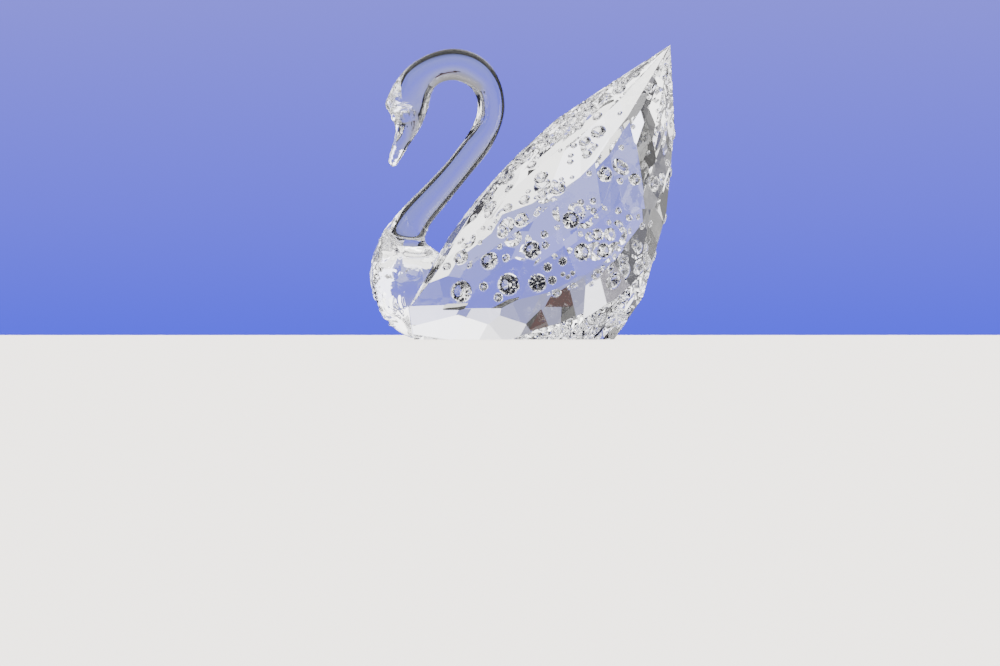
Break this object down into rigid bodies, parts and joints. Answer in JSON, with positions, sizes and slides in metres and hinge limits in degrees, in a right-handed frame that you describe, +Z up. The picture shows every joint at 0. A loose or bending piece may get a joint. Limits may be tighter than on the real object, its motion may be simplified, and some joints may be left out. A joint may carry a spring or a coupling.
{
  "type": "crystal swan figurine",
  "caption": "Clear crystal swan with a smooth hooked neck, a gem-cut body that rises to a pointed tail, and round-cut stones set in its facets.",
  "frame": {"origin": "under the middle of the swan's box, on the surface that it stands on", "axes": "+Z up, the swan looks towards -X and its tail points to +X, Y runs across it"},
  "size_m": [0.1614, 0.088, 0.1552],
  "materials": {
    "cut_crystal": "clear crystal, cut and polished",
    "hot_glass": "clear glass, formed hot, smooth",
    "stone_crystal": "clear crystal, round cut, polished"
  },
  "bodies": {
    "root": {"body": "cut_crystal", "neck": "hot_glass", "stone_left_01": "stone_crystal", "stone_left_02": "stone_crystal", "stone_left_03": "stone_crystal", "stone_left_04": "stone_crystal", "stone_left_05": "stone_crystal", "stone_left_06": "stone_crystal", "stone_left_07": "stone_crystal", "stone_left_08": "stone_crystal", "stone_left_09": "stone_crystal", "stone_left_10": "stone_crystal", "stone_left_11": "stone_crystal", "stone_left_12": "stone_crystal", "stone_left_13": "stone_crystal", "stone_left_14": "stone_crystal", "stone_left_15": "stone_crystal", "stone_left_16": "stone_crystal", "stone_left_17": "stone_crystal", "stone_left_18": "stone_crystal", "stone_left_19": "stone_crystal", "stone_left_20": "stone_crystal", "stone_left_21": "stone_crystal", "stone_left_22": "stone_crystal", "stone_left_23": "stone_crystal", "stone_left_24": "stone_crystal", "stone_left_25": "stone_crystal", "stone_left_26": "stone_crystal", "stone_left_27": "stone_crystal", "stone_right_01": "stone_crystal", "stone_right_02": "stone_crystal", "stone_right_03": "stone_crystal", "stone_right_04": "stone_crystal", "stone_right_05": "stone_crystal", "stone_right_06": "stone_crystal", "stone_right_07": "stone_crystal", "stone_right_08": "stone_crystal", "stone_right_09": "stone_crystal", "stone_right_10": "stone_crystal", "stone_right_11": "stone_crystal", "stone_right_12": "stone_crystal", "stone_right_13": "stone_crystal", "stone_right_14": "stone_crystal", "stone_right_15": "stone_crystal", "stone_right_16": "stone_crystal", "stone_right_17": "stone_crystal", "stone_right_18": "stone_crystal", "stone_right_19": "stone_crystal", "stone_right_20": "stone_crystal", "stone_right_21": "stone_crystal", "stone_right_22": "stone_crystal", "stone_right_23": "stone_crystal", "stone_right_24": "stone_crystal", "stone_stern_1": "stone_crystal", "stone_stern_2": "stone_crystal", "stone_stern_3": "stone_crystal", "stone_stern_4": "stone_crystal"}
  },
  "joints": []
}
